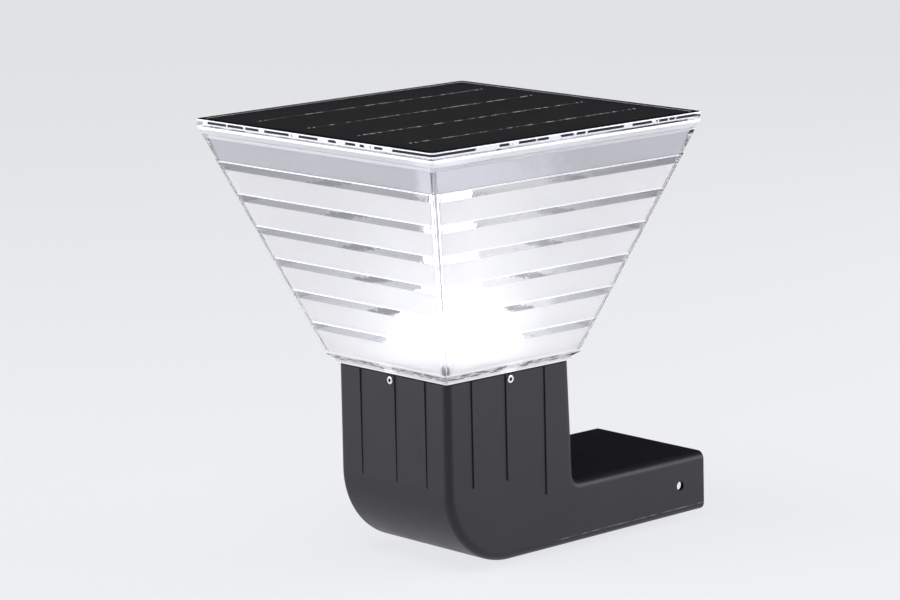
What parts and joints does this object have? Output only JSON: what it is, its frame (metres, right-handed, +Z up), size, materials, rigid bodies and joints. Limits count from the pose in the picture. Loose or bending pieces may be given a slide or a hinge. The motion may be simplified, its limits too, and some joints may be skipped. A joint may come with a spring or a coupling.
{
  "type": "solar wall pack light",
  "caption": "Solar wall lantern: a square panel tops a striped, tapered clear lens on a ribbed column that turns through an elbow into an arm, open at its wall end.",
  "frame": {"origin": "middle of the arm's open end, on the wall", "axes": "+Y into the wall, +Z up, +X along the cross hole, to the right for someone who faces the wall"},
  "size_m": [0.2006, 0.2527, 0.2514],
  "materials": {
    "housing_plastic": "fine satin texture, charcoal",
    "clear_plastic": "clear and polished",
    "lens_plastic": "frosted bands between polished stripes",
    "diffuser_plastic": "white, lit from inside",
    "key_plastic": "black",
    "seal_rubber": "matt black",
    "bond_tape": "foam tape",
    "steel": "plain steel",
    "board_laminate": "solder mask",
    "cell_silicon": "dark blue-black silicon",
    "ribbon_metal": "tinned",
    "panel_resin": "clear, finely textured",
    "led_board_metal": "white solder mask",
    "led_phosphor": "phosphor",
    "battery_wrap": "shrink wrap over the can",
    "cradle_plastic": "black",
    "contact_metal": "plated",
    "component_plastic": "moulded",
    "lead_insulation": "insulation",
    "switch_plastic": "black",
    "button_rubber": "soft touch"
  },
  "bodies": {
    "light": {"housing": "housing_plastic", "column_screws": "steel", "column_gasket": "seal_rubber", "lens_base": "clear_plastic", "corner_keys": "key_plastic", "lens_shade": "lens_plastic", "cover_seal": "seal_rubber", "top_cover": "clear_plastic", "panel_tape": "bond_tape", "panel_board": "board_laminate", "solar_cells": "cell_silicon", "cell_ribbons": "ribbon_metal", "panel_cover": "panel_resin", "led_board": "led_board_metal", "led_chips": "led_phosphor", "led_screws": "steel", "inner_diffuser": "diffuser_plastic", "battery_cell": "battery_wrap", "battery_cradle": "cradle_plastic", "battery_contacts": "contact_metal", "cradle_screws": "steel", "control_board": "board_laminate", "board_parts": "component_plastic", "board_screws": "steel", "panel_lead": "lead_insulation", "led_lead": "lead_insulation", "battery_lead": "lead_insulation", "switch_lead": "lead_insulation", "switch_bezel": "switch_plastic", "switch_nut": "switch_plastic", "switch_body": "switch_plastic"},
    "button": {"button_cap": "button_rubber"}
  },
  "joints": [
    {"name": "power_button", "type": "slide", "parent": "light", "child": "button", "axis": [0, 0, 1], "range_m": [0, 0.002], "stiffness_N_per_m": 900, "springref_m": -0.001}
  ]
}
